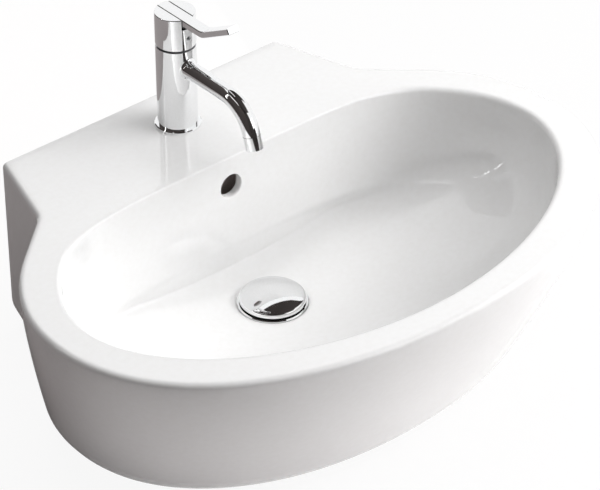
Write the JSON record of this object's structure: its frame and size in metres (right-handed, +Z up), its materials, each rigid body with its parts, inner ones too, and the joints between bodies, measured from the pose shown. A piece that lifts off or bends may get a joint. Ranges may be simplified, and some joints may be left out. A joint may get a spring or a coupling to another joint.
{
  "type": "countertop basin",
  "caption": "Oval glazed ceramic basin with a tap deck, a single-lever tap with a bent spout and a press-to-open domed plug.",
  "frame": {"origin": "middle of the footprint on the counter plane that the basin's foot stands on", "axes": "+Z up, +X to the right as the user sees it, +Y towards the wall behind the basin"},
  "size_m": [0.6066, 0.4598, 0.3423],
  "materials": {
    "basin": "gloss white glaze",
    "chromed_brass": "polished chrome plate on brass",
    "plain_brass": "turned",
    "steel": "plain",
    "rubber": "matte",
    "plastic": "moulded",
    "disc_ceramic": "lapped"
  },
  "bodies": {
    "basin_and_fixings": {"basin": "basin", "tap_body": "chromed_brass", "tap_base_ring": "chromed_brass", "aerator_housing": "chromed_brass", "waste_body": "chromed_brass", "cartridge_nut": "plain_brass", "stud_nut": "plain_brass", "waste_nut": "plain_brass", "tap_stud": "steel", "horseshoe_plate": "steel", "click_spring": "steel", "tap_base_seal": "rubber", "aerator_seal": "rubber", "cartridge_seals": "rubber", "horseshoe_gasket": "rubber", "waste_top_seal": "rubber", "waste_gasket": "rubber", "aerator_insert": "plastic", "cartridge_base": "plastic", "cartridge_housing": "plastic", "glide_ring": "plastic", "waste_washer": "plastic", "click_sleeve": "plastic", "fixed_disc": "disc_ceramic"},
    "mixer_head": {"tap_head": "chromed_brass", "head_screw": "steel", "cartridge_spindle": "plastic", "spindle_pin": "steel", "lever_pin": "steel"},
    "lever": {"lever": "chromed_brass"},
    "stem": {"cartridge_stem": "steel"},
    "moving_disc": {"moving_disc": "disc_ceramic"},
    "plug": {"plug_cap": "chromed_brass", "plug_seal": "rubber", "plug_stem": "plastic"}
  },
  "joints": [
    {"name": "mix", "type": "hinge", "parent": "basin_and_fixings", "child": "mixer_head", "pos_m": [0, 0.176, 0.3], "axis": [0, 0, 1], "range_deg": [-45, 45]},
    {"name": "open_lever", "type": "hinge", "parent": "mixer_head", "child": "lever", "pos_m": [0, 0.176, 0.3172], "axis": [-1, 0, 0], "range_deg": [0, 25]},
    {"name": "stem_tilt", "type": "hinge", "parent": "mixer_head", "child": "stem", "pos_m": [0, 0.176, 0.279], "axis": [-1, 0, 0], "range_deg": [-11.15, 0]},
    {"name": "disc_slide", "type": "slide", "parent": "mixer_head", "child": "moving_disc", "axis": [0, 1, 0], "range_m": [0, 0.00293]},
    {"name": "plug_lift", "type": "slide", "parent": "basin_and_fixings", "child": "plug", "axis": [0, 0, 1], "range_m": [0, 0.008], "deforming": ["click_spring"]}
  ],
  "couplings": [
    {"joint": "stem_tilt", "follows": "open_lever", "ratio": -0.446},
    {"joint": "disc_slide", "follows": "open_lever", "m_per_rad": 0.0067}
  ]
}
